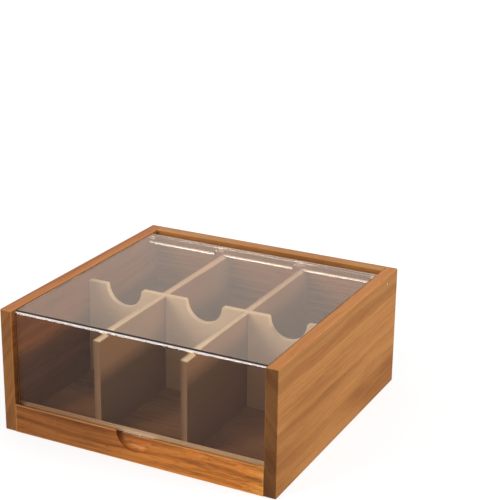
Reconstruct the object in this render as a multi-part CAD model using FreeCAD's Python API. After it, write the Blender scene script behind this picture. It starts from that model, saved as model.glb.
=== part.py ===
"""Tabletop tea bag box: an open-topped wooden case with six compartments under a hinged see-through lid.

Frame: millimetres, +Z up. X runs along the front, -Y is the front face, and the origin is the
centre of the footprint on the table.
"""
import FreeCAD, Part
import os

from FreeCAD import Vector

# ---------------------------------------------------------------- driving dimensions
# case
CASE_WIDTH = 232.0            # outside, left to right
CASE_DEPTH = 226.0            # outside, front to back
CASE_HEIGHT = 100.0           # outside, table to top edge
BOARD = 10.0                  # thickness of the side and rear boards
CORNER_ROUND = 1.5            # the two upright rear corners
ARRIS_ROUND = 0.8             # every other exposed edge of the boards

# front rail
RAIL_HEIGHT = 23.0            # top of the lip that hides the lid's lower edge
RAIL_LIP = 2.0                # thickness of that lip
RAIL_ROUND = 1.2              # the lip's front top edge
LIP_DEPTH = 2.9               # how far the lid's lower edge stands below the lip's top

# finger notch in the middle of the rail
NOTCH_RADIUS = 15.5
NOTCH_RISE = 1.0              # its centre stands this far above the rail
NOTCH_DEPTH = 5.6             # into the rail, front to back
NOTCH_FLOOR_ROUND = 4.0

# bottom board, held in a groove all round
FLOOR_BOARD = 4.0
FLOOR_RAISE = 5.6             # underside above the table
GROOVE_DEPTH = 3.5

# thin pale slip that closes the rail's groove from behind
SLIP_THICKNESS = 3.3
SLIP_BELOW_LIP = 0.6          # its top below the lip's top

# lid
LID_THICKNESS = 3.0
LID_SINK = 1.0                # the lid's top below the case's top edge
LID_BEND = 0.2                # inside radius of the front bend
LID_EDGE_ROUND = 0.3          # polished edges of the lid and its bar
LID_SIDE_GAP = 0.7
LID_FRONT_GAP = 2.0           # behind the rail's lip, room for the lower edge to swing forward
LID_BACK_GAP = 0.4            # ahead of the slip
LID_REAR_GAP = 9.0            # behind the lid, ahead of the rear board

# bar under the lid's rear edge
BAR_DEPTH = 5.0               # front to back
BAR_HEIGHT = 6.8
BAR_NOTCH_GAP = 2.2           # each side of a long divider
BAR_WEB = 2.8                 # what is left of the bar above that gap

# hinge pins
PIN_DIAMETER = 3.0
PIN_REACH = 4.0               # into each end of the bar
PIN_BORE_GAP = 0.05           # radial running clearance in the bar
PIN_END_GAP = 0.4             # between the pin's tip and the end of its bore
PIN_SUNK = 0.3                # the outer end below the side board's face
PIN_DROP = 2.4                # axis below the underside of the lid
PIN_CHAMFER = 0.3

# dividers
DIVIDER_THICKNESS = 5.4
DIVIDER_SPACING = 73.6        # centre to centre of the two long dividers
DIVIDER_BELOW_LID = 9.0       # its top below the underside of the lid
DIVIDER_EDGE_ROUND = 0.5
CROSS_THICKNESS = 5.0
CROSS_SHIFT = -2.5            # of the cross divider from the middle of the inside
LAP_GAP = 0.1                 # each side of a halved joint
SCOOP_WIDTH = 32.0
SCOOP_DEPTH = 16.6
SCOOP_LIP_ROUND = 1.6

# dowels
DOWEL_DIAMETER = 6.0
DOWEL_IN_SIDE = 6.0
DOWEL_IN_REAR = 16.0
DOWEL_FROM_EDGE = 26.0        # rear dowels, above the table and below the top
RAIL_DOWEL_DIAMETER = 3.6
RAIL_DOWEL_IN_RAIL = 14.0
DOWEL_END_GAP = 0.5           # at each end of a dowel

# ---------------------------------------------------------------- places that follow from them
HALF_WIDTH = CASE_WIDTH / 2
FRONT = -CASE_DEPTH / 2
BACK = CASE_DEPTH / 2
INNER_HALF = HALF_WIDTH - BOARD
REAR_INNER = BACK - BOARD

LID_FACE = FRONT + RAIL_LIP + LID_FRONT_GAP
LID_INNER_FACE = LID_FACE + LID_THICKNESS
LID_FOOT = RAIL_HEIGHT - LIP_DEPTH
LID_TOP = CASE_HEIGHT - LID_SINK
LID_UNDER = LID_TOP - LID_THICKNESS
LID_REAR = REAR_INNER - LID_REAR_GAP
LID_HALF = INNER_HALF - LID_SIDE_GAP

RAIL_BACK = LID_INNER_FACE + LID_BACK_GAP
SLIP_BACK = RAIL_BACK + SLIP_THICKNESS
SLIP_TOP = RAIL_HEIGHT - SLIP_BELOW_LIP
FLOOR_TOP = FLOOR_RAISE + FLOOR_BOARD

BAR_FRONT = LID_REAR - BAR_DEPTH
PIN_Y = LID_REAR - BAR_DEPTH / 2
PIN_Z = LID_UNDER - PIN_DROP

DIVIDER_X = DIVIDER_SPACING / 2
DIVIDER_TOP = LID_UNDER - DIVIDER_BELOW_LID
CROSS_Y = (LID_INNER_FACE + REAR_INNER) / 2 + CROSS_SHIFT
LAP_Z = (FLOOR_TOP + DIVIDER_TOP) / 2
COMPARTMENT_X = (DIVIDER_X + DIVIDER_THICKNESS / 2 + INNER_HALF) / 2

SIDES = {"left": -1, "right": 1}


# ---------------------------------------------------------------- shared shapes
def block(x_range, y_range, z_range):
    """A box between two corners, given as low and high values per axis."""
    corner = Vector(x_range[0], y_range[0], z_range[0])
    return Part.makeBox(x_range[1] - x_range[0], y_range[1] - y_range[0], z_range[1] - z_range[0], corner)


def across(side, inner, outer):
    """The X range from an inner to an outer distance on one side of the box."""
    return sorted((side * inner, side * outer))


def rod(side, inner, outer, radius, y, z):
    """A round bar along X on one side of the box."""
    length = outer - inner
    return Part.makeCylinder(radius, length, Vector(side * inner, y, z), Vector(side, 0, 0))


def at(value, target):
    return abs(value - target) < 1e-4


def soften(shape, radius, wanted):
    """Round every edge whose bounding box passes the test."""
    edges = [edge for edge in shape.Edges if wanted(edge.BoundBox)]
    return shape.makeFillet(radius, edges)


def extrude_yz(points_and_bends, x_low, x_high):
    """Extrude a closed YZ outline along X. Each item is a point, or a bend as (via, end)."""
    edges = []
    here = points_and_bends[0]
    for item in points_and_bends[1:] + [here]:
        if isinstance(item, tuple):
            via, end = item
            edges.append(Part.Arc(here, via, end).toShape())
            here = end
        else:
            edges.append(Part.LineSegment(here, item).toShape())
            here = item
    face = Part.Face(Part.Wire(edges))
    face.translate(Vector(x_low, 0, 0))
    return face.extrude(Vector(x_high - x_low, 0, 0))


# ---------------------------------------------------------------- joinery shared by two boards
def pin_hole(side):
    return rod(side, INNER_HALF - 1, HALF_WIDTH + 1, PIN_DIAMETER / 2, PIN_Y, PIN_Z)


def rear_dowel_heights():
    return (DOWEL_FROM_EDGE, CASE_HEIGHT - DOWEL_FROM_EDGE)


def rear_dowels(side, end_gap):
    """The two dowels, or with an end gap their holes, between a side board and the rear board."""
    inner = INNER_HALF - DOWEL_IN_REAR - end_gap
    outer = INNER_HALF + DOWEL_IN_SIDE + end_gap
    y = BACK - BOARD / 2
    return [rod(side, inner, outer, DOWEL_DIAMETER / 2, y, z) for z in rear_dowel_heights()]


def rail_dowel(side, end_gap):
    """The dowel, or with an end gap its hole, between a side board and the rail."""
    inner = INNER_HALF - RAIL_DOWEL_IN_RAIL - end_gap
    outer = INNER_HALF + DOWEL_IN_SIDE + end_gap
    y = (FRONT + RAIL_BACK) / 2
    z = (FLOOR_TOP + LID_FOOT) / 2
    return rod(side, inner, outer, RAIL_DOWEL_DIAMETER / 2, y, z)


def floor_space():
    """The space that the bottom board and its grooves take."""
    x_range = (-INNER_HALF - GROOVE_DEPTH, INNER_HALF + GROOVE_DEPTH)
    y_range = (RAIL_BACK - GROOVE_DEPTH, REAR_INNER + GROOVE_DEPTH)
    return block(x_range, y_range, (FLOOR_RAISE, FLOOR_TOP))


# ---------------------------------------------------------------- case
def side_board(side):
    outer = side * HALF_WIDTH
    board = block(across(side, INNER_HALF, HALF_WIDTH), (FRONT, BACK), (0, CASE_HEIGHT))
    board = soften(board, CORNER_ROUND, lambda b: at(b.XMin, outer) and at(b.XMax, outer) and at(b.YMin, BACK))
    board = soften(board, ARRIS_ROUND, lambda b: exposed_on_side_board(b, side))
    cuts = [floor_space(), pin_hole(side), rail_dowel(side, DOWEL_END_GAP)]
    return board.cut(cuts + rear_dowels(side, DOWEL_END_GAP))


def exposed_on_side_board(box, side):
    """True for the edges of a side board that a hand can reach."""
    reaches_outside = at(side * HALF_WIDTH, box.XMax if side > 0 else box.XMin)
    on_top = at(box.ZMin, CASE_HEIGHT)
    at_front = at(box.YMax, FRONT)
    on_table = at(box.ZMax, 0)
    upright_corner = box.ZMax - box.ZMin > CASE_HEIGHT / 2 and box.YMax > FRONT + 1
    inner_rear = box.YMin > BACK - CORNER_ROUND - 1 and not reaches_outside
    if upright_corner or inner_rear:
        return False
    return on_top or at_front or (on_table and reaches_outside)


def rear_board():
    board = block((-INNER_HALF, INNER_HALF), (REAR_INNER, BACK), (0, CASE_HEIGHT))
    board = soften(board, ARRIS_ROUND, exposed_on_rear_board)
    holes = [hole for side in SIDES.values() for hole in rear_dowels(side, DOWEL_END_GAP)]
    return board.cut([floor_space()] + holes)


def exposed_on_rear_board(box):
    """True for the two top edges and the outer bottom edge."""
    along = box.XMax - box.XMin > BOARD
    on_top = at(box.ZMin, CASE_HEIGHT)
    outer_foot = at(box.ZMax, 0) and at(box.YMin, BACK)
    return along and (on_top or outer_foot)


def front_rail():
    """The low front board: a lip, a ledge for the lid's foot behind it, and a finger notch."""
    ledge_front = FRONT + RAIL_LIP
    outline = [
        Vector(0, FRONT, 0),
        Vector(0, RAIL_BACK, 0),
        Vector(0, RAIL_BACK, LID_FOOT),
        Vector(0, ledge_front, LID_FOOT),
        Vector(0, ledge_front, RAIL_HEIGHT),
        Vector(0, FRONT, RAIL_HEIGHT),
    ]
    rail = extrude_yz(outline, -INNER_HALF, INNER_HALF)
    rail = soften(rail, RAIL_ROUND, lambda b: at(b.YMax, FRONT) and at(b.ZMin, RAIL_HEIGHT))
    rail = rail.cut([finger_notch(), floor_space()])
    return rail.cut([rail_dowel(side, DOWEL_END_GAP) for side in SIDES.values()])


def finger_notch():
    """A round scoop with a rounded floor, sunk into the rail from the front."""
    reach = NOTCH_DEPTH + NOTCH_RADIUS
    start = Vector(0, FRONT - NOTCH_RADIUS, RAIL_HEIGHT + NOTCH_RISE)
    cutter = Part.makeCylinder(NOTCH_RADIUS, reach, start, Vector(0, 1, 0))
    return soften(cutter, NOTCH_FLOOR_ROUND, lambda b: at(b.YMin, FRONT + NOTCH_DEPTH))


def rail_slip():
    return block((-INNER_HALF, INNER_HALF), (RAIL_BACK, SLIP_BACK), (FLOOR_TOP, SLIP_TOP))


def bottom_board():
    return floor_space()


# ---------------------------------------------------------------- dividers
def long_divider(side):
    """A divider from the slip to the rear board, slotted from above for the cross divider."""
    middle = side * DIVIDER_X
    half = DIVIDER_THICKNESS / 2
    divider = block((middle - half, middle + half), (SLIP_BACK, REAR_INNER), (FLOOR_TOP, DIVIDER_TOP))
    divider = soften(divider, DIVIDER_EDGE_ROUND, is_long_divider_edge)
    half_slot = CROSS_THICKNESS / 2 + LAP_GAP
    slot = block((middle - half - 1, middle + half + 1), (CROSS_Y - half_slot, CROSS_Y + half_slot),
                 (LAP_Z, DIVIDER_TOP + 1))
    return divider.cut(slot)


def is_long_divider_edge(box):
    """True for the top edges except the one against the rear board."""
    return at(box.ZMin, DIVIDER_TOP) and box.YMin < REAR_INNER - 1


def scoop(middle):
    """A round dip in the top edge, where fingers reach the bags."""
    half = SCOOP_WIDTH / 2
    radius = (half ** 2 + SCOOP_DEPTH ** 2) / (2 * SCOOP_DEPTH)
    start = Vector(middle, CROSS_Y - CROSS_THICKNESS, DIVIDER_TOP - SCOOP_DEPTH + radius)
    return Part.makeCylinder(radius, 2 * CROSS_THICKNESS, start, Vector(0, 1, 0))


def cross_divider():
    """The divider from side to side, with three scoops, slotted from below for the long ones."""
    half = CROSS_THICKNESS / 2
    divider = block((-INNER_HALF, INNER_HALF), (CROSS_Y - half, CROSS_Y + half), (FLOOR_TOP, DIVIDER_TOP))
    divider = divider.cut([scoop(x) for x in (-COMPARTMENT_X, 0, COMPARTMENT_X)])
    divider = soften(divider, SCOOP_LIP_ROUND, is_scoop_lip)
    divider = soften(divider, DIVIDER_EDGE_ROUND, is_upper_cross_edge)
    half_slot = DIVIDER_THICKNESS / 2 + LAP_GAP
    slots = []
    for side in SIDES.values():
        middle = side * DIVIDER_X
        slots.append(block((middle - half_slot, middle + half_slot), (CROSS_Y - half - 1, CROSS_Y + half + 1),
                           (FLOOR_TOP - 1, LAP_Z)))
    return divider.cut(slots)


def is_scoop_lip(box):
    """True for the short edges where a scoop meets the top edge."""
    runs_front_to_back = box.XMax - box.XMin < 0.01
    return runs_front_to_back and at(box.ZMin, DIVIDER_TOP) and abs(box.XMax) < INNER_HALF - 1


def is_upper_cross_edge(box):
    """True for the edges along the top and round the scoops."""
    runs_across = box.XMax - box.XMin > 0.5 and box.YMax - box.YMin < 0.01
    return runs_across and box.ZMin > DIVIDER_TOP - SCOOP_DEPTH - 1


# ---------------------------------------------------------------- lid
def lid_cover():
    """One sheet, bent down at the front so that it closes the front of the case too."""
    outer = LID_BEND + LID_THICKNESS
    bend_y = LID_FACE + outer
    bend_z = LID_TOP - outer
    diagonal = 0.5 ** 0.5
    outer_via = Vector(0, bend_y - outer * diagonal, bend_z + outer * diagonal)
    inner_via = Vector(0, bend_y - LID_BEND * diagonal, bend_z + LID_BEND * diagonal)
    outline = [
        Vector(0, LID_REAR, LID_TOP),
        Vector(0, bend_y, LID_TOP),
        (outer_via, Vector(0, LID_FACE, bend_z)),
        Vector(0, LID_FACE, LID_FOOT),
        Vector(0, LID_INNER_FACE, LID_FOOT),
        Vector(0, LID_INNER_FACE, bend_z),
        (inner_via, Vector(0, bend_y, LID_UNDER)),
        Vector(0, LID_REAR, LID_UNDER),
    ]
    sheet = extrude_yz(outline, -LID_HALF, LID_HALF)
    return soften(sheet, LID_EDGE_ROUND, is_outer_lid_edge)


def is_outer_lid_edge(box):
    """True for the edges of the sheet's show side."""
    along = box.XMax - box.XMin > LID_HALF
    foot = along and at(box.ZMax, LID_FOOT)
    rear = along and at(box.YMin, LID_REAR) and at(box.ZMin, LID_TOP)
    on_face = at(box.YMax, LID_FACE) and not along
    on_top = at(box.ZMin, LID_TOP) and not along
    round_bend = not along and box.ZMax > LID_UNDER and box.ZMin < LID_UNDER and box.YMax < LID_REAR
    return foot or rear or on_face or on_top or round_bend


def lid_rear_bar():
    """The stiff bar under the rear edge, with a bore in each end and a gap over each long divider."""
    foot = LID_UNDER - BAR_HEIGHT
    bar = block((-LID_HALF, LID_HALF), (BAR_FRONT, LID_REAR), (foot, LID_UNDER))
    bar = soften(bar, LID_EDGE_ROUND, lambda b: at(b.ZMax, foot) and b.XMax - b.XMin > LID_HALF)
    half_notch = DIVIDER_THICKNESS / 2 + BAR_NOTCH_GAP
    cuts = []
    for side in SIDES.values():
        middle = side * DIVIDER_X
        cuts.append(block((middle - half_notch, middle + half_notch), (BAR_FRONT - 1, LID_REAR + 1),
                          (foot - 1, LID_UNDER - BAR_WEB)))
        bore_end = LID_HALF - PIN_REACH - PIN_END_GAP
        cuts.append(rod(side, bore_end, LID_HALF + 1, PIN_DIAMETER / 2 + PIN_BORE_GAP, PIN_Y, PIN_Z))
    return bar.cut(cuts)


def hinge_pin(side):
    pin = rod(side, LID_HALF - PIN_REACH, HALF_WIDTH - PIN_SUNK, PIN_DIAMETER / 2, PIN_Y, PIN_Z)
    ends = [edge for edge in pin.Edges if edge.BoundBox.XMax - edge.BoundBox.XMin < 0.01]
    return pin.makeChamfer(PIN_CHAMFER, ends)


# ---------------------------------------------------------------- files
def all_nodes():
    nodes = {
        "rear_board": rear_board(),
        "front_rail": front_rail(),
        "rail_slip": rail_slip(),
        "bottom_board": bottom_board(),
        "cross_divider": cross_divider(),
        "lid_cover": lid_cover(),
        "lid_rear_bar": lid_rear_bar(),
    }
    for name, side in SIDES.items():
        nodes["side_board_" + name] = side_board(side)
        nodes["long_divider_" + name] = long_divider(side)
        nodes["hinge_pin_" + name] = hinge_pin(side)
        nodes["rear_dowels_" + name] = Part.makeCompound(rear_dowels(side, 0))
        nodes["rail_dowel_" + name] = rail_dowel(side, 0)
    return nodes


os.makedirs("parts", exist_ok=True)
for node, shape in all_nodes().items():
    shape.exportStep("parts/" + node + ".step")
    print(node, "valid" if shape.isValid() else "INVALID", len(shape.Solids), round(shape.Volume, 1))
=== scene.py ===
"""Tabletop tea bag box: oiled acacia case, pale dividers and a bent smoke acrylic lid on steel pins.

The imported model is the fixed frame. Boards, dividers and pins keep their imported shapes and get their
finishes here; the bent lid sheet and its rear bar are modelled again with polished, rounded edges.
Lengths are metres, except inside the wood figure, which counts in millimetres.
"""

import logging
import math
from dataclasses import dataclass, replace
from enum import Enum
from typing import Dict, Optional, Sequence, Tuple

import bpy
from mathutils import Matrix, Vector


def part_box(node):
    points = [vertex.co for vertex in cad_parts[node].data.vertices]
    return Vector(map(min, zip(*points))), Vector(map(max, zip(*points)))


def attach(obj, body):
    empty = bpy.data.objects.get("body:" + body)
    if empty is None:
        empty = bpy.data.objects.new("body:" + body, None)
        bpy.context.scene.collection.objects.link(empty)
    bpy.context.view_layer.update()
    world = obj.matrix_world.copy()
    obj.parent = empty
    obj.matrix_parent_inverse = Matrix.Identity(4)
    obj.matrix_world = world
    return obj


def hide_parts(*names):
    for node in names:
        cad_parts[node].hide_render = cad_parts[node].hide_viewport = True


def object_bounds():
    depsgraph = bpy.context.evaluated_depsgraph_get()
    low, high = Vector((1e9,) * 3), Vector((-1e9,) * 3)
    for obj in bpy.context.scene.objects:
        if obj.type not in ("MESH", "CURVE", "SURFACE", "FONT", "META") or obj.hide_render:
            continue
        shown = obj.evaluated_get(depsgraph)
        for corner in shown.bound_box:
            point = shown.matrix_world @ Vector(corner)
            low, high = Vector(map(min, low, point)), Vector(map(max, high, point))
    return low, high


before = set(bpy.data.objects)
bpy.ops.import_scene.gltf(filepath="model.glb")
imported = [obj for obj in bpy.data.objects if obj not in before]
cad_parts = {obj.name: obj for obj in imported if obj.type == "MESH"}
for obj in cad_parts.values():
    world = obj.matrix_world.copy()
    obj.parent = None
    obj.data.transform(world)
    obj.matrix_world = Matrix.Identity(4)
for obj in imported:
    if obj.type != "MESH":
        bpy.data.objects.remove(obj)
CAD_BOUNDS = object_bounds()

LOG = logging.getLogger("tea_box")
Colour = Tuple[float, float, float]
Point = Tuple[float, float, float]
Socket = bpy.types.NodeSocket
Sockets = bpy.types.NodeOutputs
MM = 0.001
WHITE = (1.0, 1.0, 1.0, 1.0)
# Points of one mesh closer than this are one point.
WELD = 1e-6
# The least part of a face's normal along an axis for the face to look along it.
SQUARE_ON = 0.9
FACING_FRONT = -0.3
# Between no bounce and one, to tell the two apart.
HALF_BOUNCE = 0.5
LAMP_AIM = (0.0, 0.0, 0.05)
# The colour sockets of a Mix node.
MIX_FIRST, MIX_SECOND, MIX_RESULT = 6, 7, 2


def opaque(colour: Colour) -> Tuple[float, float, float, float]:
    """The colour with full alpha, as colour sockets take it."""
    return (colour[0], colour[1], colour[2], 1.0)


# ---- node helpers ----
class Tree:
    """A thin wrapper that adds, sets and links nodes of one node tree."""

    def __init__(self, tree: bpy.types.NodeTree) -> None:
        """Keep the tree and empty it.

        Args:
            tree: the node tree to fill.
        """
        self.tree = tree
        tree.nodes.clear()

    def add(self, kind: str, settings: Optional[dict] = None, **inputs: object) -> bpy.types.Node:
        """Add a node.

        Args:
            kind: the node's type name.
            settings: attributes of the node.
            inputs: values or sockets by input name, with underscores for spaces.

        Returns:
            The new node.
        """
        node = self.tree.nodes.new(kind)
        for name, value in (settings or {}).items():
            setattr(node, name, value)
        for name, value in inputs.items():
            self.feed(node.inputs[name.replace("_", " ")], value)
        return node

    def feed(self, socket: Socket, value: object) -> None:
        """Link a socket to an input, or set the input's own value.

        Args:
            socket: the input.
            value: value or socket.
        """
        if isinstance(value, Socket):
            self.tree.links.new(value, socket)
        else:
            socket.default_value = value

    def pair(self, kind: str, operation: str, first: object, second: object) -> Socket:
        """One node that works on two inputs.

        Args:
            kind: the node's type name.
            operation: what it does.
            first: value or socket.
            second: value or socket.

        Returns:
            The result's socket.
        """
        node = self.add(kind, {"operation": operation})
        self.feed(node.inputs[0], first)
        self.feed(node.inputs[1], second)
        return node.outputs[0]

    def math(self, operation: str, first: object, second: object = 0.0) -> Socket:
        """One Math node."""
        return self.pair("ShaderNodeMath", operation, first, second)

    def vector(self, operation: str, first: object, second: object) -> Socket:
        """One Vector Math node with two inputs."""
        return self.pair("ShaderNodeVectorMath", operation, first, second)

    def remap(self, value: object, low: float, high: float, out_low: float = 0.0,
              out_high: float = 1.0) -> Socket:
        """Stretch a range of values to another, with smooth ends.

        Args:
            value: the socket to read.
            low: start of the range.
            high: end of the range.
            out_low: what the start becomes.
            out_high: what the end becomes.

        Returns:
            The result's socket.
        """
        node = self.add("ShaderNodeMapRange", {"interpolation_type": "SMOOTHSTEP"})
        for index, number in enumerate((value, low, high, out_low, out_high)):
            self.feed(node.inputs[index], number)
        return node.outputs[0]

    def blend(self, factor: object, first: object, second: object, mode: str = "MIX") -> Socket:
        """Mix two colours.

        Args:
            factor: share of the second.
            first: colour or socket.
            second: colour or socket.
            mode: how they mix.

        Returns:
            The result's socket.
        """
        node = self.add("ShaderNodeMix", {"data_type": "RGBA", "blend_type": mode})
        self.feed(node.inputs[0], factor)
        self.feed(node.inputs[MIX_FIRST], first)
        self.feed(node.inputs[MIX_SECOND], second)
        return node.outputs[MIX_RESULT]

    def stretched(self, place: object, along: float, across: float) -> Socket:
        """Scale a place along the grain and across it."""
        return self.vector("MULTIPLY", place, (along, across, across))

    def scaled(self, place: object, factor: object) -> Socket:
        """A vector times a number or a value's socket."""
        node = self.add("ShaderNodeVectorMath", {"operation": "SCALE"}, Scale=factor)
        self.feed(node.inputs[0], place)
        return node.outputs[0]

    def length(self, vector: object) -> Socket:
        """A vector's length."""
        node = self.add("ShaderNodeVectorMath", {"operation": "LENGTH"})
        self.feed(node.inputs[0], vector)
        return node.outputs["Value"]

    def noise(self, place: object, detail: float = 2.0, roughness: float = 0.5) -> bpy.types.Node:
        """A 3-D noise at scale 1."""
        return self.add("ShaderNodeTexNoise", Vector=place, Scale=1.0, Detail=detail, Roughness=roughness)

    def axes(self, vector: object) -> Sockets:
        """A vector's three parts, as sockets."""
        return self.add("ShaderNodeSeparateXYZ", Vector=vector).outputs

    def place(self) -> Socket:
        """The place on the object, in its own axes."""
        return self.add("ShaderNodeTexCoord").outputs["Object"]

    def show(self, surface: Socket) -> bpy.types.Node:
        """End a material's tree with its surface."""
        return self.add("ShaderNodeOutputMaterial", Surface=surface)


def new_material(name: str) -> Tuple[bpy.types.Material, Tree]:
    """A new material and its empty tree.

    Args:
        name: the material's name.

    Returns:
        Both.
    """
    material = bpy.data.materials.new(name)
    material.use_nodes = True
    return material, Tree(material.node_tree)


def new_group(name: str, kind: str, inputs: Dict[str, Tuple[str, object]],
              outputs: Dict[str, str]) -> Tuple[Tree, Sockets]:
    """A new node group with its named sockets.

    Args:
        name: the group's name.
        kind: its tree's type.
        inputs: socket type and default value by name.
        outputs: socket type by name.

    Returns:
        Its tree and its inputs' sockets.
    """
    group = bpy.data.node_groups.new(name, kind)
    for label, (socket_kind, default) in inputs.items():
        socket = group.interface.new_socket(label, in_out="INPUT", socket_type=socket_kind)
        if default is not None:
            socket.default_value = default
    for label, socket_kind in outputs.items():
        group.interface.new_socket(label, in_out="OUTPUT", socket_type=socket_kind)
    tree = Tree(group)
    return tree, tree.add("NodeGroupInput").outputs


# ---- shared shader groups ----
@dataclass(frozen=True)
class GrainLayer:
    """One layer of the wood figure: noise drawn out along the grain and cut to a mask, per millimetre."""

    along: float
    across: float
    start: float
    full: float
    detail: float = 2.0
    roughness: float = 0.5

    def mask(self, tree: Tree, place: Socket, size: Optional[Socket] = None) -> Socket:
        """Build the layer.

        Args:
            tree: the tree to add it to.
            place: the place in millimetres, with the grain along X.
            size: how much finer the layer is.

        Returns:
            A socket from 0 to 1.
        """
        drawn = tree.stretched(place, self.along, self.across)
        if size is not None:
            drawn = tree.scaled(drawn, size)
        return tree.remap(tree.noise(drawn, self.detail, self.roughness).outputs[0], self.start, self.full)


# The figure's layers, how its rings wander and ripple, and how they become bands.
STREAKS = GrainLayer(0.011, 0.30, 0.50, 0.72, detail=3.0, roughness=0.6)
FIBRES = GrainLayer(0.012, 1.0, 0.32, 0.68, detail=4.0, roughness=0.6)
PORES = GrainLayer(0.07, 1.0, 0.60, 0.70, detail=1.0)
CLOUDS = GrainLayer(0.006, 0.022, 0.35, 0.65)
WANDER = (0.007, 0.014)
RIPPLE = (0.035, 0.05)
RIPPLE_REACH = 1.6
BANDS = (0.30, 0.70)
BAND_DETAIL = 5.0
BAND_ROUGHNESS = 0.62
FIBRE_RELIEF = 0.4


def wood_figure_group() -> bpy.types.NodeTree:
    """The figure of sawn wood as a solid pattern, with the grain along X and the pith on the X axis.

    Returns:
        The group. Its places are in millimetres.
    """
    name = "wood_figure"
    if name in bpy.data.node_groups:
        return bpy.data.node_groups[name]
    inputs = {"Place": ("NodeSocketVector", None)}
    for label in ("Ring spacing", "Waver", "Fibre", "Pore"):
        inputs[label] = ("NodeSocketFloat", 1.0)
    labels = ("Bands", "Streaks", "Fibres", "Pores", "Clouds", "Relief")
    tree, source = new_group(name, "ShaderNodeTree", inputs, dict.fromkeys(labels, "NodeSocketFloat"))
    place = source["Place"]

    drift = tree.noise(tree.stretched(place, *WANDER)).outputs["Color"]
    wander = tree.scaled(tree.vector("SUBTRACT", drift, (0.5, 0.5, 0.5)), source["Waver"])
    ripple = tree.noise(tree.stretched(place, *RIPPLE), detail=1.0).outputs["Color"]
    small = tree.scaled(tree.vector("SUBTRACT", ripple, (0.5, 0.5, 0.5)), RIPPLE_REACH)
    moved = tree.vector("ADD", tree.vector("ADD", place, wander), small)

    radius = tree.length(tree.vector("MULTIPLY", moved, (0.0, 1.0, 1.0)))
    rings = tree.math("DIVIDE", radius, source["Ring spacing"])
    uneven = tree.add("ShaderNodeTexNoise", {"noise_dimensions": "1D"}, W=rings, Scale=1.0,
                      Detail=BAND_DETAIL, Roughness=BAND_ROUGHNESS)
    bands = tree.remap(uneven.outputs[0], *BANDS)

    streaks = STREAKS.mask(tree, moved)
    fibres = FIBRES.mask(tree, moved, source["Fibre"])
    pores = PORES.mask(tree, moved, source["Pore"])
    clouds = CLOUDS.mask(tree, place)
    relief = tree.math("SUBTRACT", tree.math("MULTIPLY", fibres, FIBRE_RELIEF), pores)
    sink = tree.add("NodeGroupOutput")
    for label, socket in zip(labels, (bands, streaks, fibres, pores, clouds, relief)):
        tree.feed(sink.inputs[label], socket)
    return tree.tree


# How wide the painted highlight along the long edges is, the share of that width at full strength, and how
# squarely a sawn end faces its grain.
EDGE_WIDTH = 1.2 * MM
EDGE_CORE = 0.2
END_FACING = (0.5, 0.95)


def board_edge_group() -> bpy.types.NodeTree:
    """Masks for a board: its long edges, which get a painted highlight, and its sawn ends, which drink more
    oil.

    Returns:
        The group. It reads the place and the facing in the object's own axes.
    """
    name = "board_edge"
    if name in bpy.data.node_groups:
        return bpy.data.node_groups[name]
    inputs = {label: ("NodeSocketVector", None) for label in ("Place", "Facing", "Low", "High", "Grain")}
    inputs["Width"] = ("NodeSocketFloat", EDGE_WIDTH)
    outputs = {"Edge": "NodeSocketFloat", "End": "NodeSocketFloat"}
    tree, source = new_group(name, "ShaderNodeTree", inputs, outputs)
    from_low = tree.vector("SUBTRACT", source["Place"], source["Low"])
    from_high = tree.vector("SUBTRACT", source["High"], source["Place"])
    x_gap, y_gap, z_gap = tree.axes(tree.vector("MINIMUM", from_low, from_high))
    total = tree.math("ADD", tree.math("ADD", x_gap, y_gap), z_gap)
    least = tree.math("MINIMUM", tree.math("MINIMUM", x_gap, y_gap), z_gap)
    most = tree.math("MAXIMUM", tree.math("MAXIMUM", x_gap, y_gap), z_gap)
    second = tree.math("SUBTRACT", tree.math("SUBTRACT", total, least), most)
    edge = tree.remap(tree.math("DIVIDE", second, source["Width"]), EDGE_CORE, 1.0, 1.0, 0.0)
    along = tree.add("ShaderNodeVectorMath", {"operation": "DOT_PRODUCT"})
    tree.feed(along.inputs[0], source["Facing"])
    tree.feed(along.inputs[1], source["Grain"])
    end = tree.remap(tree.math("ABSOLUTE", along.outputs["Value"]), *END_FACING)
    tree.add("NodeGroupOutput", Edge=edge, End=end)
    return tree.tree


# ---- finishes ----
class GrainAxis(Enum):
    """The row axis that a board's grain follows, with the turn that brings it to X and the axis itself."""

    ALONG_X = ((0.0, 0.0, 0.0), (1.0, 0.0, 0.0))
    ALONG_Y = ((0.0, 0.0, -math.pi / 2), (0.0, 1.0, 0.0))


@dataclass(frozen=True)
class WoodColours:
    """The tones of one kind of wood."""

    dark: Colour
    middle: Colour
    light: Colour
    pore: Colour
    streak: Colour


@dataclass(frozen=True)
class ToneZone:
    """A tone multiplied into one part of a board, mostly painted light or shade: full at one place on an
    axis, gone at another.

    The sway is how far its border wanders with the figure's clouds.
    """

    factor: Colour
    full: float
    gone: float
    sway: float = 0.0
    axis: int = 2


END_TINT = (1.0, 0.96, 0.98)


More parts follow.
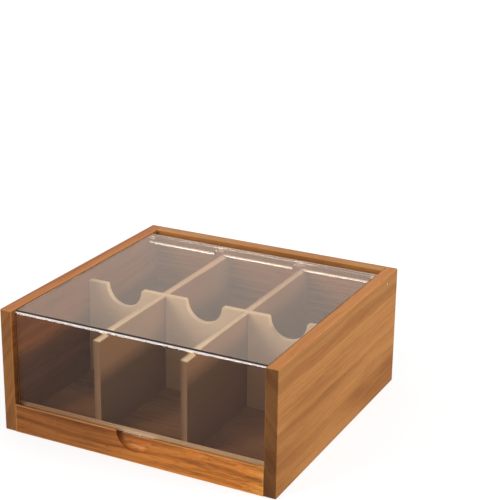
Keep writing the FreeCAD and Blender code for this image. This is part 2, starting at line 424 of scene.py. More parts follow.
@dataclass(frozen=True)
class WoodFinish:
    """A sawn, smoothed wood surface."""

    name: str
    colours: WoodColours
    grain: GrainAxis = GrainAxis.ALONG_X
    pith: Point = (0.0, 40.0, 90.0)
    ring_spacing: float = 6.0
    waver: float = 10.0
    fibre: float = 1.2
    pore_size: float = 1.6
    pore_share: float = 0.5
    band_gain: float = 0.6
    fibre_gain: float = 0.35
    cloud_gain: float = 0.35
    streak_gain: float = 0.3
    end_tone: float = 0.62
    # Share of the painted highlight on the long edges.
    edge_highlight: float = 0.25
    roughness: float = 0.52
    roughness_spread: float = 0.12
    relief: float = 0.06 * MM
    gloss: float = 0.25
    # How much lighter than the light wood the painted edge highlight is.
    highlight_lift: float = 1.5
    box: Optional[Tuple[Sequence[float], Sequence[float]]] = None
    zones: Tuple[ToneZone, ...] = ()

    def material(self) -> bpy.types.Material:
        """Build the material.

        Returns:
            The new material.
        """
        material, tree = new_material(self.name)
        coordinates = tree.add("ShaderNodeTexCoord").outputs
        figure = self.figure(tree, coordinates["Object"])
        tone = self.tone(tree, figure)
        colour = self.zoned(tree, self.stained(tree, tone, figure), coordinates["Object"], figure)
        if self.box is not None:
            colour = self.edged(tree, colour, coordinates)
        half = self.roughness_spread / 2
        dull = tree.remap(tone, 0.0, 1.0, self.roughness + half, self.roughness - half)
        bump = tree.add("ShaderNodeBump", Strength=1.0, Distance=self.relief, Height=figure["Relief"])
        surface = tree.add("ShaderNodeBsdfPrincipled", Base_Color=colour, Roughness=dull,
                           Specular_IOR_Level=self.gloss, Normal=bump.outputs[0])
        tree.show(surface.outputs[0])
        return material

    def figure(self, tree: Tree, place: Socket) -> Sockets:
        """Cut the board out of its own piece of figured wood.

        Args:
            tree: the material's tree.
            place: the place on the board.

        Returns:
            The figure's outputs.
        """
        turned = tree.add("ShaderNodeMapping", {"vector_type": "POINT"}, Vector=place,
                          Scale=(1 / MM, 1 / MM, 1 / MM), Rotation=self.grain.value[0])
        figure = tree.add("ShaderNodeGroup", {"node_tree": wood_figure_group()},
                          Place=tree.vector("ADD", turned.outputs[0], self.pith),
                          Ring_spacing=self.ring_spacing, Waver=self.waver, Fibre=self.fibre,
                          Pore=self.pore_size)
        return figure.outputs

    def tone(self, tree: Tree, figure: Sockets) -> Socket:
        """How light the wood is, from 0 to 1.

        Args:
            tree: the material's tree.
            figure: the figure's outputs.

        Returns:
            The tone's socket.
        """
        tone = 0.5
        gains = {"Bands": self.band_gain, "Fibres": self.fibre_gain, "Clouds": self.cloud_gain}
        for layer, gain in gains.items():
            swing = tree.math("MULTIPLY", tree.math("SUBTRACT", figure[layer], 0.5), gain)
            tone = tree.math("ADD", tone, swing)
        return tone

    def stained(self, tree: Tree, tone: Socket, figure: Sockets) -> Socket:
        """The wood's colours by tone, with its streaks and pores.

        Args:
            tree: the material's tree.
            tone: how light the wood is.
            figure: the figure's outputs.

        Returns:
            The colour's socket.
        """
        ramp = tree.add("ShaderNodeValToRGB", Fac=tone)
        stops = ramp.color_ramp.elements
        stops[0].color = opaque(self.colours.dark)
        stops[1].color = opaque(self.colours.light)
        middle = stops.new(0.5)
        middle.color = opaque(self.colours.middle)
        streaks = tree.math("MULTIPLY", figure["Streaks"], self.streak_gain)
        colour = tree.blend(streaks, ramp.outputs["Color"], opaque(self.colours.streak))
        pores = tree.math("MULTIPLY", figure["Pores"], self.pore_share)
        return tree.blend(pores, colour, opaque(self.colours.pore))

    def zoned(self, tree: Tree, colour: Socket, place: Socket, figure: Sockets) -> Socket:
        """Multiply each zone's tone into the board; most zones are painted light or shade.

        Args:
            tree: the material's tree.
            colour: the colour before.
            place: the place on the board.
            figure: the figure's outputs, whose clouds make a zone's border uneven.

        Returns:
            The colour's socket.
        """
        for zone in self.zones:
            sway = tree.math("MULTIPLY", tree.math("SUBTRACT", figure["Clouds"], 0.5), zone.sway)
            where = tree.math("ADD", tree.axes(place)[zone.axis], sway)
            share = tree.remap(where, zone.full, zone.gone, 1.0, 0.0)
            colour = tree.blend(share, colour, tree.blend(1.0, colour, opaque(zone.factor), "MULTIPLY"))
        return colour

    def edged(self, tree: Tree, colour: Socket, coordinates: Sockets) -> Socket:
        """Darken the sawn ends and paint a highlight along the long edges.

        Args:
            tree: the material's tree.
            colour: the colour before.
            coordinates: the texture coordinates.

        Returns:
            The colour's socket.
        """
        edges = tree.add("ShaderNodeGroup", {"node_tree": board_edge_group()}, Place=coordinates["Object"],
                         Facing=coordinates["Normal"], Low=self.box[0], High=self.box[1],
                         Grain=self.grain.value[1])
        end = opaque(tuple(self.end_tone * part for part in END_TINT))
        colour = tree.blend(edges.outputs["End"], colour, tree.blend(1.0, colour, end, "MULTIPLY"))
        # Painted highlight along the long edges: the light wood made lighter still.
        worn = opaque(tuple(min(1.0, part * self.highlight_lift) for part in self.colours.light))
        return tree.blend(tree.math("MULTIPLY", edges.outputs["Edge"], self.edge_highlight), colour, worn)


@dataclass(frozen=True)
class AcrylicFinish:
    """Polished see-through sheet, tinted through its thickness, with faint handling marks."""

    name: str
    tint: Colour = (0.766, 0.604, 0.395)
    density: float = 170.0
    lamp_tint: Colour = (0.99, 0.99, 0.99)
    roughness: float = 0.012
    haze: float = 0.02
    mark_scale: float = 22.0
    mark_range: Tuple[float, float] = (0.45, 0.75)
    index: float = 1.49

    def material(self) -> bpy.types.Material:
        """Build the material.

        Returns:
            The new material. Lamps and light between matt faces go straight through it.
        """
        material, tree = new_material(self.name)
        marks = tree.noise(tree.scaled(tree.place(), self.mark_scale), detail=3.0)
        dull = tree.remap(marks.outputs[0], *self.mark_range, self.roughness, self.roughness + self.haze)
        surface = tree.add("ShaderNodeBsdfPrincipled", Base_Color=WHITE, Roughness=dull, IOR=self.index,
                           Transmission_Weight=1.0)
        clear = tree.add("ShaderNodeBsdfTransparent", Color=opaque(self.lamp_tint))
        path = tree.add("ShaderNodeLightPath")
        shader = surface.outputs[0]
        for ray in ("Is Diffuse Ray", "Is Shadow Ray"):
            both = tree.add("ShaderNodeMixShader")
            tree.feed(both.inputs[0], path.outputs[ray])
            tree.feed(both.inputs[1], shader)
            tree.feed(both.inputs[2], clear.outputs[0])
            shader = both.outputs[0]
        depth = tree.add("ShaderNodeVolumeAbsorption", Color=opaque(self.tint), Density=self.density)
        tree.feed(tree.show(shader).inputs["Volume"], depth.outputs[0])
        return material


@dataclass(frozen=True)
class CutEdgeFinish:
    """Sawn acrylic left unpolished: pale and matt, with fine saw marks; on the lid's front bend the same pale
    face is a painted highlight.
    """

    name: str
    pale: Colour = (0.82, 0.71, 0.67)
    dull: Colour = (0.70, 0.60, 0.56)
    roughness: float = 0.62
    roughness_gain: float = 0.12
    saw_marks: Tuple[float, float] = (900.0, 120.0)
    mark_range: Tuple[float, float] = (0.35, 0.65)

    def material(self) -> bpy.types.Material:
        """Build the material.

        Returns:
            The new material.
        """
        material, tree = new_material(self.name)
        marks = tree.noise(tree.stretched(tree.place(), *self.saw_marks))
        share = tree.remap(marks.outputs[0], *self.mark_range)
        shade = tree.blend(share, opaque(self.pale), opaque(self.dull))
        worn = tree.remap(share, 0.0, 1.0, self.roughness, self.roughness + self.roughness_gain)
        surface = tree.add("ShaderNodeBsdfPrincipled", Base_Color=shade, Roughness=worn)
        tree.show(surface.outputs[0])
        return material


@dataclass(frozen=True)
class SteelFinish:
    """Bright drawn steel with fine turning marks."""

    name: str
    colour: Colour = (0.86, 0.72, 0.54)
    shade: float = 0.86
    roughness: Tuple[float, float] = (0.54, 0.70)
    turning_marks: Tuple[float, float] = (200.0, 4000.0)
    mark_range: Tuple[float, float] = (0.3, 0.7)

    def material(self) -> bpy.types.Material:
        """Build the material.

        Returns:
            The new material.
        """
        material, tree = new_material(self.name)
        marks = tree.noise(tree.stretched(tree.place(), *self.turning_marks))
        worn = tree.remap(marks.outputs[0], *self.mark_range, *self.roughness)
        darker = opaque(tuple(self.shade * part for part in self.colour))
        shade = tree.blend(marks.outputs[0], opaque(self.colour), darker)
        surface = tree.add("ShaderNodeBsdfPrincipled", Base_Color=shade, Metallic=1.0, Roughness=worn)
        tree.show(surface.outputs[0])
        return material


ACACIA = WoodColours(
    dark=(0.27, 0.094, 0.022),
    middle=(0.415, 0.171, 0.043),
    light=(0.50, 0.220, 0.060),
    pore=(0.24, 0.084, 0.020),
    streak=(0.26, 0.090, 0.020),
)
ACACIA_RED = WoodColours(
    dark=(0.40, 0.125, 0.024),
    middle=(0.74, 0.235, 0.036),
    light=(0.90, 0.330, 0.066),
    pore=(0.26, 0.080, 0.016),
    streak=(0.20, 0.060, 0.013),
)
PALE = WoodColours(
    dark=(0.56, 0.40, 0.235),
    middle=(0.70, 0.53, 0.335),
    light=(0.78, 0.62, 0.42),
    pore=(0.48, 0.32, 0.17),
    streak=(0.52, 0.35, 0.19),
)
BASE = WoodColours(
    dark=(0.17, 0.075, 0.032),
    middle=(0.27, 0.130, 0.060),
    light=(0.36, 0.185, 0.090),
    pore=(0.14, 0.065, 0.03),
    streak=(0.14, 0.060, 0.025),
)
CREAM = WoodColours(
    dark=(0.88, 0.76, 0.60),
    middle=(0.95, 0.84, 0.68),
    light=(0.97, 0.88, 0.73),
    pore=(0.78, 0.65, 0.49),
    streak=(0.80, 0.67, 0.51),
)
SLIP = WoodColours(
    dark=(0.82, 0.64, 0.46),
    middle=(0.92, 0.75, 0.57),
    light=(0.95, 0.80, 0.63),
    pore=(0.72, 0.54, 0.36),
    streak=(0.76, 0.58, 0.40),
)
# Places that the tone zones, most of them painted light or shade, start from.
CASE_TOP = CAD_BOUNDS[1][2]
LEFT_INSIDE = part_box("side_board_left")[1][0]
DIVIDER_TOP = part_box("long_divider_right")[1][2]
# The dividers' painted shade zones, how far two kinds of painted zone reach, and the finish that the dividers
# share.
# Painted shade: the cross divider darker lower down in the compartments.
CROSS_PAINTED_SHADE = ToneZone((0.69, 0.54, 0.43), 35 * MM, 75 * MM, sway=6 * MM)
# Painted shade: the long dividers' faces much darker than their tops.
LONG_FACES_PAINTED_SHADE = ToneZone((0.315, 0.223, 0.172), DIVIDER_TOP - 1.8 * MM, DIVIDER_TOP - 0.1 * MM, sway=1 * MM)
# Painted shade: the long dividers darker towards the rear.
LONG_REAR_PAINTED_SHADE = ToneZone((0.84, 0.73, 0.68), 40 * MM, -20 * MM, sway=10 * MM, axis=1)
PAINTED_LEFT_SHADE_END = 3.5 * MM
TOP_FADE = (0.1 * MM, 0.7 * MM)
CREAM_BOARD = WoodFinish(
    "pale_board", CREAM, ring_spacing=5.0, waver=5.0, pore_share=0.2, band_gain=0.2, fibre_gain=0.2,
    cloud_gain=0.2, streak_gain=0.1, roughness=0.6)


def painted_left_shade(node: str, factor: Colour, start: float) -> ToneZone:
    """Painted shade on the left half of a long divider, lit less than the right half.

    Args:
        node: the divider's name.
        factor: how much dimmer it is.
        start: where it begins to fade, from the left face.

    Returns:
        The zone.
    """
    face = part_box(node)[0][0]
    return ToneZone(factor, face + start, face + PAINTED_LEFT_SHADE_END, axis=0)


def painted_top_light(factor: Colour) -> ToneZone:
    """Painted light on a side board's top edge alone: its tone set by how light falls on that face."""
    return ToneZone(factor, CASE_TOP - TOP_FADE[0], CASE_TOP - TOP_FADE[1])


def dress(node: str, material: bpy.types.Material) -> None:
    """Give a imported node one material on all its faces.

    Args:
        node: the node's name.
        material: its finish.
    """
    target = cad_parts[node]
    if not target.data.materials:
        target.data.materials.append(material)
    for slot in target.material_slots:
        slot.material = material
    LOG.info("dressed %s with %s", node, material.name)


def shape_group(name: str, inputs: Dict[str, Tuple[str, object]]) -> Tuple[Tree, Sockets]:
    """A Geometry Nodes tree's start.

    Args:
        name: the tree's name.
        inputs: socket type and default value by name.

    Returns:
        The tree and its inputs' sockets.
    """
    shape = "NodeSocketGeometry"
    return new_group(name, "GeometryNodeTree", {"Geometry": (shape, None), **inputs}, {"Geometry": shape})


def solid_from_tree(name: str, tree: bpy.types.NodeTree, values: Dict[str, object]) -> bpy.types.Object:
    """Run a Geometry Nodes tree once and keep its result as a plain mesh.

    Args:
        name: the new piece's name.
        tree: the tree.
        values: its input values by name.

    Returns:
        The piece, at the origin, with its place in its mesh.
    """
    carrier = bpy.data.objects.new(name + "_carrier", bpy.data.meshes.new(name + "_carrier"))
    bpy.context.scene.collection.objects.link(carrier)
    modifier = carrier.modifiers.new("shape", "NODES")
    modifier.node_group = tree
    for item in tree.interface.items_tree:
        if item.item_type == "SOCKET" and item.in_out == "INPUT" and item.name in values:
            modifier[item.identifier] = values[item.name]
    carrier.data.update()
    evaluated = carrier.evaluated_get(bpy.context.evaluated_depsgraph_get())
    mesh = bpy.data.meshes.new_from_object(evaluated)
    mesh.name = name
    bpy.data.objects.remove(carrier)
    piece = bpy.data.objects.new(name, mesh)
    bpy.context.scene.collection.objects.link(piece)
    return piece


# ---- sub-assemblies ----
@dataclass
class Case:
    """The acacia boards and the board under the tea bags."""

    side_right: WoodFinish = WoodFinish(
        "acacia_side_right", ACACIA, GrainAxis.ALONG_Y, (310.0, -60.0, 70.0), ring_spacing=7.0, waver=6.0,
        band_gain=0.50, fibre_gain=0.30, cloud_gain=0.25, streak_gain=0.40, pore_share=0.3, end_tone=0.50,
        edge_highlight=0.04, box=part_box("side_board_right"),
        # Darker towards the bottom and towards the top of the face; the top edge gets painted light.
        zones=(ToneZone((0.78, 0.72, 0.64), -5 * MM, 46 * MM, sway=50 * MM),
               ToneZone((0.84, 0.82, 0.78), CASE_TOP - 2 * MM, CASE_TOP - 22 * MM, sway=12 * MM),
               painted_top_light((1.31, 1.18, 1.03))))
    side_left: WoodFinish = WoodFinish(
        "acacia_side_left", ACACIA, GrainAxis.ALONG_Y, (-520.0, 90.0, 60.0), band_gain=0.40, end_tone=0.70,
        box=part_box("side_board_left"),
        # Painted shade on the inner face, which lies in shade beside the lid; painted light on the top edge.
        zones=(ToneZone((0.52, 0.50, 0.52), LEFT_INSIDE + 0.1 * MM, LEFT_INSIDE - 0.3 * MM, axis=0),
               painted_top_light((1.10, 0.93, 0.93))))
    rear: WoodFinish = WoodFinish(
        "acacia_rear", ACACIA, pith=(900.0, -60.0, 40.0), box=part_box("rear_board"))
    rail: WoodFinish = WoodFinish(
        "acacia_rail", ACACIA_RED, pith=(60.0, 150.0, 30.0), ring_spacing=8.0, waver=22.0, band_gain=0.85,
        cloud_gain=0.4, streak_gain=0.6, box=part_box("front_rail"),
        # Painted shade: the rail darker towards the left; painted highlight: lighter at its right end.
        zones=(ToneZone((0.42, 0.41, 0.52), -70 * MM, 90 * MM, sway=40 * MM, axis=0),
               ToneZone((1.10, 1.35, 1.50), 104 * MM, 80 * MM, sway=20 * MM, axis=0)))
    bottom: WoodFinish = WoodFinish("bottom_board", BASE, pith=(0.0, 40.0, 400.0), roughness=0.6)
    dowel: WoodFinish = WoodFinish("dowel_beech", PALE, pith=(0.0, 3.0, 1.0), roughness=0.6)

    def dress(self) -> None:
        """Finish each board."""
        dress("side_board_right", self.side_right.material())
        dress("side_board_left", self.side_left.material())
        dress("rear_board", self.rear.material())
        dress("front_rail", self.rail.material())
        dress("bottom_board", self.bottom.material())
        dowel = self.dowel.material()
        for side in ("left", "right"):
            dress("rear_dowels_" + side, dowel)
            dress("rail_dowel_" + side, dowel)


@dataclass
class Dividers:
    """The pale boards between the compartments and the slip behind the rail."""

    cross: WoodFinish = replace(
        CREAM_BOARD, name="pale_cross", pith=(100.0, 70.0, 120.0), band_gain=0.25, zones=(CROSS_PAINTED_SHADE,))
    # The long dividers get painted shade on their faces, towards the rear and on their left halves.
    long_left: WoodFinish = replace(
        CREAM_BOARD, name="pale_long_left", grain=GrainAxis.ALONG_Y, pith=(0.0, 60.0, 90.0),
        zones=(LONG_FACES_PAINTED_SHADE, LONG_REAR_PAINTED_SHADE, painted_left_shade("long_divider_left", (0.80, 0.72, 0.66), 0.0)))
    long_right: WoodFinish = replace(
        CREAM_BOARD, name="pale_long_right", grain=GrainAxis.ALONG_Y, pith=(500.0, -80.0, 90.0),
        zones=(LONG_FACES_PAINTED_SHADE, LONG_REAR_PAINTED_SHADE, painted_left_shade("long_divider_right", (0.66, 0.58, 0.52), 0.4 * MM)))
    slip: WoodFinish = replace(
        CREAM_BOARD, name="pale_slip", colours=SLIP, pith=(700.0, 100.0, 20.0), ring_spacing=6.0,
        # Painted shade: the slip darker towards the left.
        band_gain=0.3, zones=(ToneZone((0.62, 0.50, 0.46), -90 * MM, 20 * MM, sway=10 * MM, axis=0),))

    def dress(self) -> None:
        """Finish each divider."""
        dress("cross_divider", self.cross.material())
        dress("long_divider_left", self.long_left.material())
        dress("long_divider_right", self.long_right.material())
        dress("rail_slip", self.slip.material())


@dataclass
class Lid:
    """The bent acrylic sheet with the bar under its rear edge, and the pins it turns on."""

    thickness: float = 3.0 * MM
    bend_inside: float = 0.2 * MM
    bend_lead: float = 0.4 * MM
    bend_steps: int = 20
    edge_round: float = 0.3 * MM
    edge_angle: float = math.radians(40.0)
    edge_steps: int = 2
    bend_highlight_rise: Tuple[float, float] = (0.50, 0.78)
    foot_band: float = 0.3 * MM
    rear_band: float = 1.0 * MM
    bar_gap: float = 0.05 * MM
    bar_chamfer: Tuple[float, float] = (2.6 * MM, 1.5 * MM)
    bar_web: float = 2.8 * MM
    flat_angle: float = math.radians(25.0)
    notch_gap: float = 2.2 * MM
    notch_through: float = 20.0 * MM
    bore_gap: float = 0.05 * MM
    bore_sides: int = 32
    pin_end_gap: float = 0.4 * MM
    acrylic: AcrylicFinish = AcrylicFinish("lid_sheet")
    clear: AcrylicFinish = AcrylicFinish("lid_bar_clear", tint=(0.94, 0.91, 0.88), density=30.0)
    # Pale matt face for the sawn edges, also used as the painted highlight on the front bend.
    cut_edge_and_highlight: CutEdgeFinish = CutEdgeFinish("lid_cut_edge")
    steel: SteelFinish = SteelFinish("pin_metal")

    def sheet_tree(self) -> bpy.types.NodeTree:
        """The Geometry Nodes tree that sweeps the sheet round its bend.

        Returns:
            The tree, with its sizes and its two materials as named inputs.
        """
        corners = ("Foot", "Under bend", "Corner", "Behind bend", "Rear")
        inputs = {name: ("NodeSocketVector", None) for name in (*corners, "Sheet size")}
        inputs["Bend radius"] = ("NodeSocketFloat", 0.0)
        inputs["Bend steps"] = ("NodeSocketInt", self.bend_steps)
        inputs["Material"] = ("NodeSocketMaterial", None)
        inputs["Cut edge and highlight"] = ("NodeSocketMaterial", None)
        tree, source = shape_group("bent_lid", inputs)
        index = tree.add("GeometryNodeInputIndex").outputs[0]

        line = tree.add("GeometryNodeMeshLine", Count=len(corners)).outputs[0]
        chosen = tree.add("GeometryNodeIndexSwitch", {"data_type": "VECTOR"})
        while len(chosen.index_switch_items) < len(corners):
            chosen.index_switch_items.new()
        tree.feed(chosen.inputs[0], index)
        for number, name in enumerate(corners):
            tree.feed(chosen.inputs[number + 1], source[name])
        placed = tree.add("GeometryNodeSetPosition", Geometry=line, Position=chosen.outputs[0])
        path = tree.add("GeometryNodeMeshToCurve", Mesh=placed.outputs[0])
        corner = tree.add("FunctionNodeCompare", {"data_type": "INT", "operation": "EQUAL"})
        tree.feed(corner.inputs[2], index)
        corner.inputs[3].default_value = corners.index("Corner")
        radius = tree.math("MULTIPLY", corner.outputs[0], source["Bend radius"])
        bent = tree.add("GeometryNodeFilletCurve", {"mode": "POLY"}, Curve=path.outputs[0], Radius=radius,
                        Count=source["Bend steps"])
        size = tree.axes(source["Sheet size"])
        section = tree.add("GeometryNodeCurvePrimitiveQuadrilateral", {"mode": "RECTANGLE"}, Width=size[0],
                           Height=size[2])
        sheet = self.swept(tree, bent.outputs[0], section.outputs[0])
        self.finish_tree(tree, sheet, source, self.cut_and_highlight_faces(tree, source))
        return tree.tree

    def bar_tree(self) -> bpy.types.NodeTree:
        """The Geometry Nodes tree of the rear bar, notched over the dividers and bored for the pins.

        Returns:
            The tree, with its sizes and its material as named inputs.
        """
        vectors = ("Bar low", "Bar high", "Notch size", "Bore place")
        inputs = {name: ("NodeSocketVector", None) for name in vectors}
        for name in ("Chamfer depth", "Chamfer height", "Notch spacing", "Bore", "Bore depth"):
            inputs[name] = ("NodeSocketFloat", 0.0)
        inputs["Material"] = ("NodeSocketMaterial", None)
        tree, source = shape_group("notched_bar", inputs)

        both = tree.vector("ADD", source["Bar low"], source["Bar high"])
        middle = tree.vector("MULTIPLY", both, (0.0, 0.5, 0.0))
        low_z = tree.vector("MULTIPLY", source["Bar low"], (0.0, 0.0, 1.0))
        notch_middle = tree.vector("ADD", middle, low_z)
        tools = tree.add("GeometryNodeJoinGeometry")
        for side in (-0.5, 0.5):
            away = tree.math("MULTIPLY", source["Notch spacing"], side)
            shift = tree.add("ShaderNodeCombineXYZ", X=away)
            centre = tree.vector("ADD", notch_middle, shift.outputs[0])
            notch = tree.add("GeometryNodeMeshCube", Size=source["Notch size"])
            moved = tree.add("GeometryNodeTransform", Geometry=notch.outputs[0], Translation=centre)
            tree.feed(tools.inputs[0], moved.outputs[0])
        for side in (-1.0, 1.0):
            drill = tree.add("GeometryNodeMeshCylinder", Vertices=self.bore_sides,
                             Radius=tree.math("MULTIPLY", source["Bore"], 0.5),
                             Depth=tree.math("MULTIPLY", source["Bore depth"], 2.0))
            spot = tree.vector("MULTIPLY", source["Bore place"], (side, 1.0, 1.0))
            turn = tree.add("GeometryNodeTransform", Geometry=drill.outputs[0], Translation=spot,
                            Rotation=(0.0, math.pi / 2, 0.0))
            tree.feed(tools.inputs[0], turn.outputs[0])
        cut = tree.add("GeometryNodeMeshBoolean", {"operation": "DIFFERENCE", "solver": "EXACT"},
                       Mesh_1=self.bar(tree, source))
        tree.feed(cut.inputs["Mesh 2"], tools.outputs[0])
        self.finish_tree(tree, cut.outputs[0], source)
        return tree.tree

    @staticmethod
    def swept(tree: Tree, path: Socket, section: Socket) -> Socket:
        """A section swept along a path and closed at both ends.

        Args:
            tree: the tree to add it to.
            path: the path's curve.
            section: the section's curve.

        Returns:
            The solid's socket.
        """
        solid = tree.add("GeometryNodeCurveToMesh", Curve=path, Profile_Curve=section, Fill_Caps=True)
        return tree.add("GeometryNodeMergeByDistance", Geometry=solid.outputs[0], Distance=WELD).outputs[0]

    @staticmethod
    def finish_tree(tree: Tree, geometry: Socket, source: Sockets, cut: Optional[Socket] = None) -> None:
        """End a tree: real geometry, smooth shading and materials.

        Args:
            tree: the tree to end.
            geometry: what it has built.
            source: the tree's inputs.
            cut: where the second material goes, where there is one.
        """
        real = tree.add("GeometryNodeRealizeInstances", Geometry=geometry)
        smooth = tree.add("GeometryNodeSetShadeSmooth", Geometry=real.outputs[0])
        finish = tree.add("GeometryNodeSetMaterial", Geometry=smooth.outputs[0], Material=source["Material"])
        if cut is not None:
            finish = tree.add("GeometryNodeSetMaterial", Geometry=finish.outputs[0],
                              Material=source["Cut edge and highlight"], Selection=cut)
        tree.add("NodeGroupOutput", Geometry=finish.outputs[0])

    def cut_and_highlight_faces(self, tree: Tree, source: Sockets) -> Socket:
        """The pale matt faces: the sheet's rear edge and foot, and a painted highlight band in the middle of
        the front bend.

        Args:
            tree: the tree to add it to.
            source: the tree's inputs.

        Returns:
            A socket that is above 0 on those faces.
        """
        def over(value: Socket, limit: object) -> Socket:
            """1 where a value is greater than a limit."""
            return tree.math("GREATER_THAN", value, limit)

        def under(value: Socket, limit: object) -> Socket:
            """1 where a value is less than a limit."""
            return tree.math("LESS_THAN", value, limit)

        height = tree.axes(tree.add("GeometryNodeInputPosition").outputs[0])[2]
        _, back, rise = tree.axes(tree.add("GeometryNodeInputNormal").outputs[0])
        sheet_low = tree.math("SUBTRACT", tree.axes(source["Rear"])[2], self.rear_band)
        foot_high = tree.math("ADD", tree.axes(source["Foot"])[2], self.foot_band)
        in_sheet = over(height, sheet_low)
        foot = tree.math("MULTIPLY", under(rise, -SQUARE_ON), under(height, foot_high))
        rear = tree.math("MULTIPLY", over(back, SQUARE_ON), in_sheet)
        # Painted highlight: a band across the middle of the front bend.
        low, high = self.bend_highlight_rise
        bend = tree.math("MULTIPLY", over(rise, low), under(rise, high))
        bend = tree.math("MULTIPLY", bend, under(back, FACING_FRONT))
        bend = tree.math("MULTIPLY", bend, in_sheet)
        return tree.math("ADD", tree.math("ADD", foot, rear), bend)

    def bar(self, tree: Tree, source: Sockets) -> Socket:
        """The bar before it is notched: its section with the rear lower edge chamfered, swept along X.

        Args:
            tree: the tree to add it to.
            source: the tree's inputs.

        Returns:
            The bar's socket.
        """
        low, high = source["Bar low"], source["Bar high"]
        length, depth, height = tree.axes(tree.vector("SUBTRACT", high, low))
        stretch = tree.math("DIVIDE", source["Chamfer depth"], source["Chamfer height"])
        section = tree.add("GeometryNodeCurvePrimitiveQuadrilateral", {"mode": "RECTANGLE"}, Width=depth,
                           Height=tree.math("MULTIPLY", height, stretch))
        across, up, _ = tree.axes(tree.add("GeometryNodeInputPosition").outputs[0])
        left = tree.math("LESS_THAN", across, 0.0)
        corner = tree.math("MULTIPLY", tree.math("GREATER_THAN", up, 0.0), left)
        cut = tree.add("GeometryNodeFilletCurve", {"mode": "POLY"}, Curve=section.outputs[0],
                       Radius=tree.math("MULTIPLY", corner, source["Chamfer depth"]), Count=1)
        squash = tree.add("ShaderNodeCombineXYZ", X=1.0, Y=tree.math("DIVIDE", 1.0, stretch), Z=1.0)
        section = tree.add("GeometryNodeTransform", Geometry=cut.outputs[0], Scale=squash.outputs[0])
        half = tree.math("MULTIPLY", length, 0.5)
        start = tree.add("ShaderNodeCombineXYZ", X=tree.math("MULTIPLY", half, -1.0))
        end = tree.add("ShaderNodeCombineXYZ", X=half)
        path = tree.add("GeometryNodeCurvePrimitiveLine", Start=start.outputs[0], End=end.outputs[0])
        solid = self.swept(tree, path.outputs[0], section.outputs[0])
        centre = tree.scaled(tree.vector("ADD", low, high), 0.5)
        return tree.add("GeometryNodeTransform", Geometry=solid, Translation=centre).outputs[0]

    def values(self) -> Dict[str, object]:
        """The two trees' input values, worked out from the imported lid, pins and dividers."""
        low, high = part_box("lid_cover")
        bar_low, bar_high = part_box("lid_rear_bar")
        pin_low, pin_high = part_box("hinge_pin_right")
        divider_low, divider_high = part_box("long_divider_right")
        half = self.thickness / 2
        front, top = low[1] + half, high[2] - half
        radius = self.bend_inside + half
        lead = radius + self.bend_lead
        notch_width = divider_high[0] - divider_low[0] + 2 * self.notch_gap
        notch_height = 2 * (bar_high[2] - self.bar_web - bar_low[2])
        return {
            "Foot": (0.0, front, low[2]),
            "Under bend": (0.0, front, top - lead),
            "Corner": (0.0, front, top),
            "Behind bend": (0.0, front + lead, top),
            "Rear": (0.0, high[1], top),
            "Bend radius": radius,
            "Bend steps": self.bend_steps,
            "Sheet size": (high[0] - low[0], 0.0, self.thickness),
            "Bar low": tuple(bar_low),
            "Bar high": (bar_high[0], bar_high[1], bar_high[2] - self.bar_gap),
            "Notch size": (notch_width, self.notch_through, notch_height),
            "Notch spacing": divider_low[0] + divider_high[0],
            "Bore place": (bar_high[0], (pin_low[1] + pin_high[1]) / 2, (pin_low[2] + pin_high[2]) / 2),
            "Chamfer depth": self.bar_chamfer[0],
            "Chamfer height": self.bar_chamfer[1],
            "Bore": pin_high[2] - pin_low[2] + 2 * self.bore_gap,
            "Bore depth": bar_high[0] - pin_low[0] + self.pin_end_gap,
        }

    def build(self) -> None:
        """Model the lid, give it its finish and finish the pins."""
        sizes = self.values()
        finishes = {"Material": self.acrylic.material(), "Cut edge and highlight": self.cut_edge_and_highlight.material()}
        shell = solid_from_tree("lid_shell", self.sheet_tree(), {**sizes, **finishes})
        polish = shell.modifiers.new("polished_edges", "BEVEL")
        polish.width = self.edge_round
        polish.segments = self.edge_steps
        polish.limit_method = "ANGLE"
        polish.angle_limit = self.edge_angle
        polish.harden_normals = True
        bar = solid_from_tree("lid_bar", self.bar_tree(), {**sizes, "Material": self.clear.material()})
        crisp = bar.modifiers.new("flat_faces", "EDGE_SPLIT")
        crisp.split_angle = self.flat_angle
        for piece, node in ((shell, "lid_cover"), (bar, "lid_rear_bar")):
            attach(piece, "lid")
            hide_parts(node)
            LOG.info("built %s", piece.name)
        steel = self.steel.material()
        for side in ("left", "right"):
            dress("hinge_pin_" + side, steel)


# ---- studio ----
@dataclass(frozen=True)
class SoftBox:
    """A rectangular lamp aimed at the box. A radiance of 1 is white."""

    name: str
    place: Point
    size: Tuple[float, float]
    radiance: float

    def hang(self) -> None:
        """Put the lamp in the scene."""
        data = bpy.data.lights.new(self.name, "AREA")
        data.shape = "RECTANGLE"
        data.size, data.size_y = self.size
        data.energy = self.radiance * math.pi * self.size[0] * self.size[1]
        lamp = bpy.data.objects.new(self.name, data)
        lamp.location = self.place
        aim = Vector(LAMP_AIM) - Vector(self.place)
        lamp.rotation_mode = "QUATERNION"
        lamp.rotation_quaternion = aim.to_track_quat("-Z", "Y")
        bpy.context.scene.collection.objects.link(lamp)


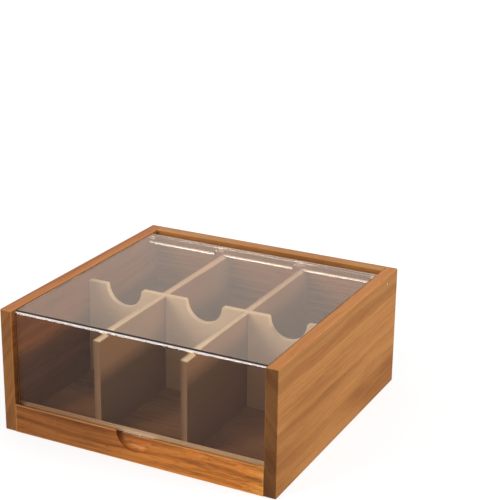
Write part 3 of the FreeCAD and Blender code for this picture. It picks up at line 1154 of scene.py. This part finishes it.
@dataclass
class Studio:
    """Floor, lamps, surroundings and camera."""

    lamps: Tuple[SoftBox, ...] = (
        SoftBox("side_right", (1.90, 0.27, 0.86), (0.9, 0.35), 33.0),
        SoftBox("front_left", (-0.78, -1.36, 0.80), (0.5, 1.1), 9.8),
    )
    camera_place: Point = (0.47777, -0.88624, 0.49189)
    camera_aim: Point = (0.05801, -0.04342, 0.15505)
    camera_roll: float = math.radians(0.761)
    lens: float = 99.149
    sensor: float = 36.0
    clip: Tuple[float, float] = (0.05, 50.0)
    floor_size: float = 12.0
    floor_drop: float = 0.2 * MM
    floor_grey: Colour = (0.35, 0.35, 0.35)
    floor_reach: Tuple[float, float] = (0.2, 1.2)
    floor_glow: Tuple[float, float] = (0.72, 0.95)
    ambient: float = 0.50
    room_gloss: float = 1.0
    room_tone: Colour = (1.0, 0.93, 0.88)
    floor_gloss: float = 0.10

    def floor(self) -> None:
        """A plain white floor that keeps the box's shadow."""
        mesh = bpy.data.meshes.new("floor")
        half = self.floor_size / 2
        low = -self.floor_drop
        corners = [(-half, -half, low), (half, -half, low), (half, half, low), (-half, half, low)]
        mesh.from_pydata(corners, [], [(0, 1, 2, 3)])
        floor = bpy.data.objects.new("floor", mesh)
        bpy.context.scene.collection.objects.link(floor)
        material, tree = new_material("floor_paper")
        paper = tree.add("ShaderNodeBsdfDiffuse", Color=opaque(self.floor_grey))
        seen = self.background(tree, self.floor_gloss)
        level = tree.remap(tree.length(tree.place()), *self.floor_reach, *self.floor_glow)
        glow = tree.add("ShaderNodeEmission", Strength=tree.math("MULTIPLY", seen, level))
        both = tree.add("ShaderNodeAddShader")
        tree.feed(both.inputs[0], paper.outputs[0])
        tree.feed(both.inputs[1], glow.outputs[0])
        tree.show(both.outputs[0])
        mesh.materials.append(material)

    @staticmethod
    def background(tree: Tree, gloss: float) -> Socket:
        """Where the eye sees the background: straight, through glass or in gloss, not on a matt face.

        Args:
            tree: the floor's or the world's tree.
            gloss: how much of it reflections show, as the room is dimmer than the backdrop.

        Returns:
            A socket that is 1 for the eye and through glass, gloss in reflections and 0 elsewhere.
        """
        path = tree.add("ShaderNodeLightPath")
        seen = tree.math("MAXIMUM", path.outputs["Is Camera Ray"], path.outputs["Is Glossy Ray"])
        seen = tree.math("MAXIMUM", seen, path.outputs["Is Transmission Ray"])
        mirrored = tree.math("GREATER_THAN", path.outputs["Glossy Depth"], HALF_BOUNCE)
        level = tree.math("SUBTRACT", 1.0, tree.math("MULTIPLY", mirrored, 1.0 - gloss))
        direct = tree.math("LESS_THAN", path.outputs["Diffuse Depth"], HALF_BOUNCE)
        return tree.math("MULTIPLY", tree.math("MULTIPLY", seen, level), direct)

    def surroundings(self) -> None:
        """White all round to the eye and through glass, a warmer room in gloss, a softer fill on the rest."""
        world = bpy.data.worlds.new("studio")
        bpy.context.scene.world = world
        world.use_nodes = True
        tree = Tree(world.node_tree)
        seen = self.background(tree, self.room_gloss)
        path = tree.add("ShaderNodeLightPath")
        matt = tree.math("GREATER_THAN", path.outputs["Diffuse Depth"], HALF_BOUNCE)
        strength = tree.math("ADD", seen, tree.math("MULTIPLY", matt, self.ambient))
        mirrored = tree.math("GREATER_THAN", path.outputs["Glossy Depth"], HALF_BOUNCE)
        tone = tree.blend(mirrored, WHITE, opaque(self.room_tone))
        light = tree.add("ShaderNodeBackground", Color=tone, Strength=strength)
        tree.add("ShaderNodeOutputWorld", Surface=light.outputs[0])

    def camera(self) -> None:
        """The camera, with its slight roll."""
        data = bpy.data.cameras.new("camera")
        data.lens = self.lens
        data.sensor_width = self.sensor
        data.clip_start, data.clip_end = self.clip
        camera = bpy.data.objects.new("camera", data)
        place = Vector(self.camera_place)
        forward = (Vector(self.camera_aim) - place).normalized()
        right = forward.cross(Vector((0.0, 0.0, 1.0))).normalized()
        up = right.cross(forward)
        rolled_right = right * math.cos(self.camera_roll) + up * math.sin(self.camera_roll)
        rolled_up = rolled_right.cross(forward)
        turn = Matrix((rolled_right, rolled_up, -forward)).transposed()
        camera.matrix_world = Matrix.Translation(place) @ turn.to_4x4()
        bpy.context.scene.collection.objects.link(camera)
        bpy.context.scene.camera = camera

    def build(self) -> None:
        """Set everything up."""
        bpy.context.scene.view_settings.view_transform = "Standard"
        self.floor()
        self.surroundings()
        for lamp in self.lamps:
            lamp.hang()
        self.camera()


def main() -> None:
    """Build the studio and dress every piece."""
    logging.basicConfig(level=logging.INFO)
    Studio().build()
    Case().dress()
    Dividers().dress()
    Lid().build()


if __name__ == "__main__":
    main()
